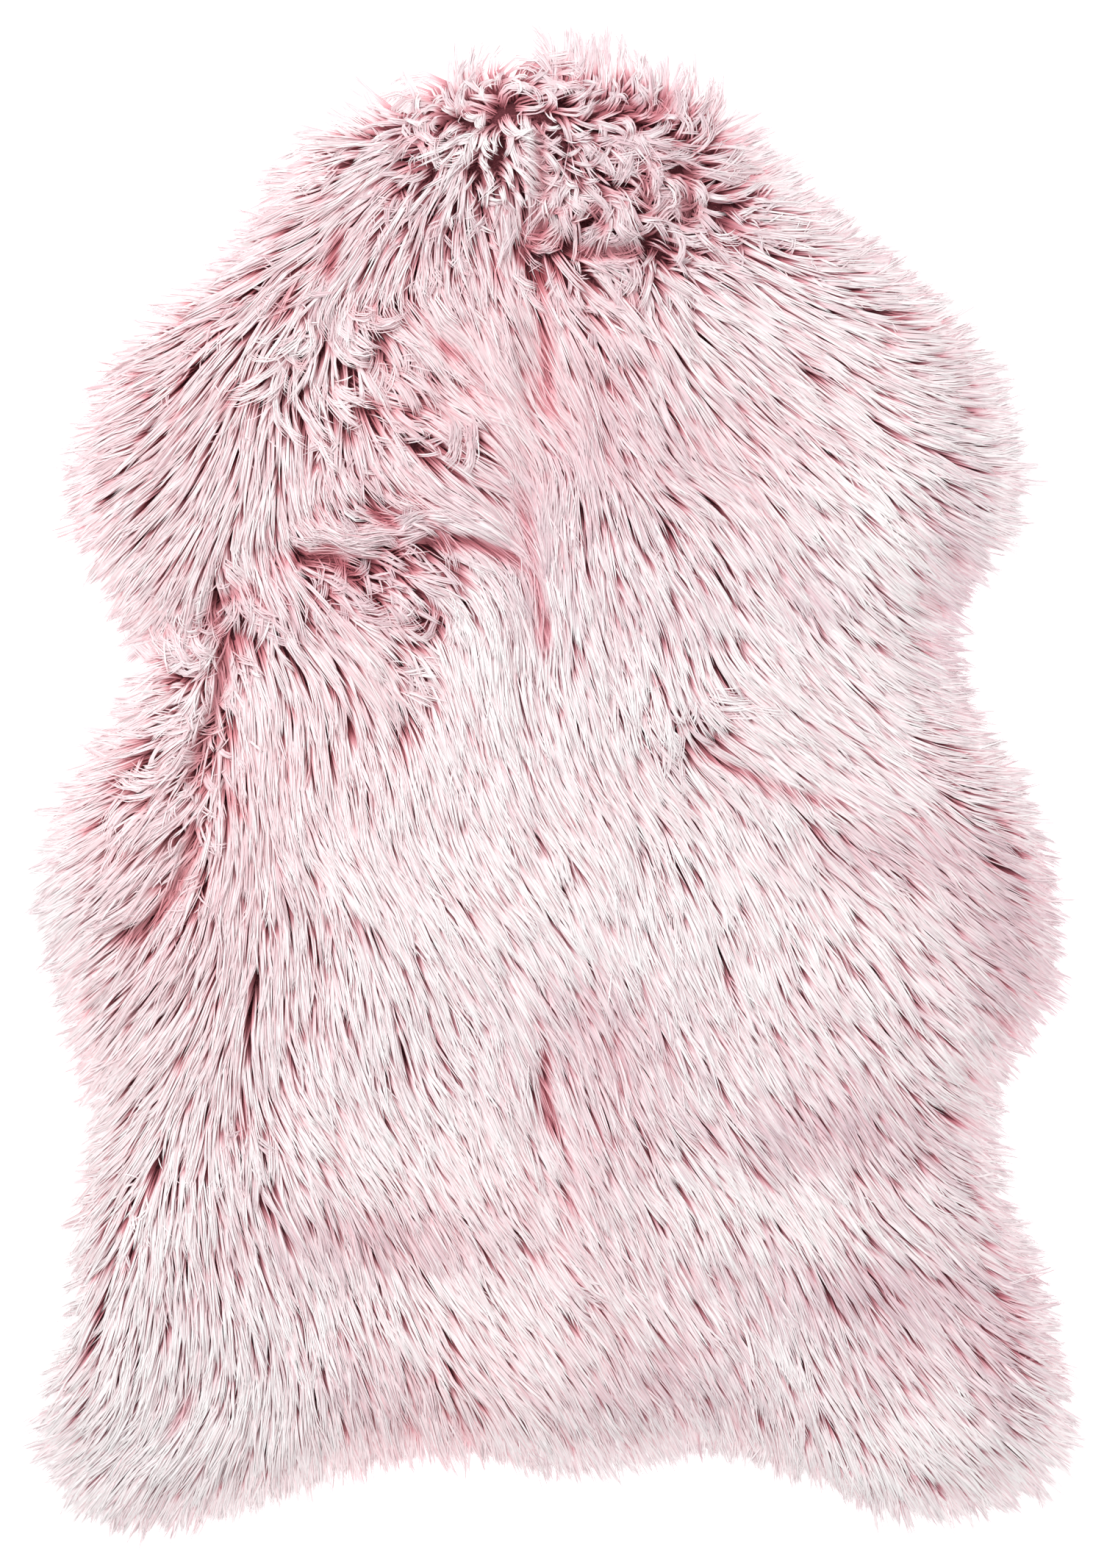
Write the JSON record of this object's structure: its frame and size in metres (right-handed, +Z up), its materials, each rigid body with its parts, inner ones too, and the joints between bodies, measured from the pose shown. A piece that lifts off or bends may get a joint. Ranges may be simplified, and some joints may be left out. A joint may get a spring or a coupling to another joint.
{
  "type": "faux fur rug",
  "caption": "Long-pile pink faux fur rug cut to the outline of a sheepskin, lying flat with its pile combed outwards.",
  "frame": {"origin": "on the floor, under the middle of the rug's bounding box", "axes": "+Y from the rump to the neck, the long way; +X to the right with the neck up; +Z up out of the pile"},
  "size_m": [0.6406, 0.9136, 0.0385],
  "materials": {
    "pile": "soft matt long acrylic pile, pale pink at the tips and dusty rose between the locks"
  },
  "bodies": {
    "root": {"fur": "pile"}
  },
  "joints": []
}
